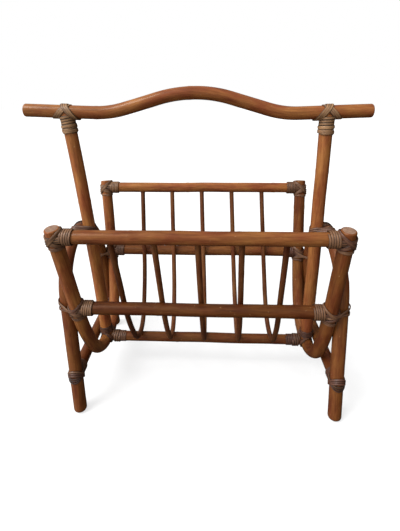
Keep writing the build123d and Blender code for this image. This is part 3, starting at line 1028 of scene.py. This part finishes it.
def peel_finish():
    finish, tree, skin = new_finish("cane_peel")
    where = attribute(tree, "straight", "Vector")
    tone_and_shade = attribute(tree, "tone_and_shade", "Fac")
    fibres = streaks(tree, where, FIBRES, 3.0)
    cloud = streaks(tree, where, RUBBED, 3.0)
    pale = ramp(tree, fibres, [(0.3, (0.19, 0.092, 0.037)), (0.7, (0.4, 0.225, 0.1))])
    # The deep colour, taken by a high tone, is partly painted shade for bindings that sit in shade.
    deep_and_shaded = ramp(tree, fibres, [(0.3, (0.05, 0.018, 0.01)), (0.7, (0.14, 0.056, 0.032))])
    shade = mixed(tree, tone_and_shade, pale, deep_and_shaded)
    parts = tree.nodes.new("ShaderNodeSeparateXYZ")
    feed(tree, parts, {0: where})
    aside = maths(tree, "ABSOLUTE", parts.outputs["Y"], 0.0)
    # Painted shade: each strip is darkened towards its edges, standing for the shade in the creases
    # between strips.
    edge = grey(tree, aside, EDGE_FROM * NARROW, EDGE_TO * NARROW, 1.0, PAINTED_CREASE_SHADE)
    crease_shaded = mixed(tree, 1.0, shade, edge, "MULTIPLY")
    clouded = mixed(tree, 1.0, crease_shaded, grey(tree, cloud, 0.3, 0.7, 0.6, 1.25), "MULTIPLY")
    feed(tree, skin, {"Base Color": clouded, "Roughness": grey(tree, cloud, 0.3, 0.7, 0.6, 0.4),
                      "Specular IOR Level": 0.35, "Coat Weight": 0.1, "Coat Roughness": 0.35})
    add_bump(tree, skin, fibres, 0.5, 0.2 * MM)
    return finish


peel = peel_finish()
for name, piece in made.items():
    if name.endswith("lashing"):
        piece.data.materials.clear()
        piece.data.materials.append(peel)
print("finish of the bindings:", peel.name)

# %% [markdown]
# ## The pins
#
# Short steel pins hold each joint under its binding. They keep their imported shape, and only get a dull
# steel finish with a little rust.

# %% Finish of the pins
def pin_finish():
    finish, tree, skin = new_finish("dull_steel")
    place = tree.nodes.new("ShaderNodeTexCoord")
    spots = streaks(tree, place.outputs["Object"], (500, 500, 500))
    rusty = ramp(tree, spots, [(0.45, (0.3, 0.29, 0.27)), (0.7, (0.16, 0.07, 0.035))])
    feed(tree, skin, {"Base Color": rusty, "Metallic": 0.8,
                      "Roughness": grey(tree, spots, 0.35, 0.7, 0.35, 0.7)})
    add_bump(tree, skin, spots, 0.3, 0.1 * MM)
    return finish


steel = pin_finish()
for name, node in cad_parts.items():
    if name.endswith("_pins"):
        node.data.materials.clear()
        node.data.materials.append(steel)
        print("steel for", name)

# %% [markdown]
# ## Ride on the rack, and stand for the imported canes
#
# Nothing on this rack moves, so every piece rides on the one body, "root". Each new cane stands for
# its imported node, which stays in the model for collisions but is no longer seen.

# %% Attach everything
for name, piece in made.items():
    if name in lines:
        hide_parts(name)
    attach(piece, "root")
print("pieces riding on the rack:", len(made))

# %% [markdown]
# ## Floor, light and camera
#
# The rack stands on a white floor that glows a little, so its shadow stays faint. The soft sky is
# brighter on the left, and one broad lamp stands high on the left in front, which leaves the right and
# under sides of the canes darker. The sky is dimmed in the varnish, where a white room would wash the
# brown out. The camera stands close, about as high as the handle, and looks down.

# %% The floor
WHITE, FLOOR_GREY, FLOOR_GLOW = (1.0, 1.0, 1.0, 1.0), (0.35, 0.35, 0.35, 1.0), 0.62
bpy.ops.mesh.primitive_plane_add(size=16.0, location=(0, 0, 0))
floor = bpy.context.object
floor.name = "floor"
floor_paint, tree, skin = new_finish("white_floor")
feed(tree, skin, {"Base Color": FLOOR_GREY, "Roughness": 0.9, "Emission Color": WHITE,
                  "Emission Strength": FLOOR_GLOW})
floor.data.materials.append(floor_paint)
floor.visible_diffuse = False
floor.visible_glossy = False
floor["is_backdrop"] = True
print("floor:", floor.name, "with", floor_paint.name)

# %% The light
SKY_AIM = tuple(unit((-0.75, -0.4, 0.8)))
SKY_DIM, SKY_BRIGHT, SKY_IN_VARNISH = 0.06, 1.6, 0.4
SUN_PLACE, SUN_STRENGTH, SUN_SPREAD = (-1.2, -0.7, 1.5), 3.15, 32.0


def soft_sky():
    """A sky that is bright above and to the left, dim below, and plain white as a backdrop."""
    sky = bpy.data.worlds.new("soft_sky")
    sky.use_nodes = True
    tree = sky.node_tree
    light = tree.nodes["Background"]
    place = tree.nodes.new("ShaderNodeTexCoord")
    aim = tree.nodes.new("ShaderNodeVectorMath")
    aim.operation = "DOT_PRODUCT"
    feed(tree, aim, {0: place.outputs["Generated"], 1: SKY_AIM})
    glow = grey(tree, aim.outputs["Value"], -0.35, 0.9, SKY_DIM, SKY_BRIGHT)
    backdrop = tree.nodes.new("ShaderNodeBackground")
    feed(tree, backdrop, {"Color": WHITE})
    choose = tree.nodes.new("ShaderNodeMixShader")
    kind = tree.nodes.new("ShaderNodeLightPath")
    mirrored = maths(tree, "MULTIPLY", kind.outputs["Is Glossy Ray"], SKY_IN_VARNISH - 1.0)
    strength = maths(tree, "MULTIPLY", glow, maths(tree, "ADD", mirrored, 1.0))
    feed(tree, light, {"Color": WHITE, "Strength": strength})
    feed(tree, choose, {0: kind.outputs["Is Camera Ray"], 1: light.outputs[0], 2: backdrop.outputs[0]})
    feed(tree, tree.nodes["World Output"], {"Surface": choose.outputs[0]})
    return sky


def soft_sun(name, place, strength, spread):
    """A broad lamp that shines from a place towards the rack, equally bright over the whole floor."""
    bpy.ops.object.light_add(type="SUN", location=place)
    lamp = bpy.context.object
    lamp.name = name
    lamp.data.energy = strength
    lamp.data.angle = math.radians(spread)
    lamp.rotation_euler = (-Vector(place)).to_track_quat("-Z", "Y").to_euler()
    print(name, "shines from", place)


bpy.context.scene.world = soft_sky()
soft_sun("window_light", SUN_PLACE, SUN_STRENGTH, SUN_SPREAD)

# %% The camera
FOCAL, SENSOR = 23.73, 36.0
CAMERA_PLACE = (20.8 * MM, -485.7 * MM, 441.5 * MM)
TURN_LEFT, LOOK_DOWN, ROLL = 2.916, 16.04, -0.647
SHIFT = (0.0138, -0.1422)

camera = bpy.data.objects.new("camera", bpy.data.cameras.new("camera"))
bpy.context.scene.collection.objects.link(camera)
aimed = Matrix.Translation(CAMERA_PLACE)
for degrees, axis in ((TURN_LEFT, "Z"), (90 - LOOK_DOWN, "X"), (ROLL, "Z")):
    aimed = aimed @ Matrix.Rotation(math.radians(degrees), 4, axis)
camera.matrix_world = aimed
camera.data.lens, camera.data.sensor_width = FOCAL, SENSOR
camera.data.shift_x, camera.data.shift_y = SHIFT
camera.data.clip_start = 0.01
bpy.context.scene.camera = camera
bpy.context.scene.view_settings.view_transform = "Standard"
print("camera at", [round(v, 3) for v in camera.location])

# %% [markdown]
# ## The size of the new pieces
#
# The box of every piece that is shown is measured. The new pieces have to stay in the box of the
# imported model.

low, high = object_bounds()
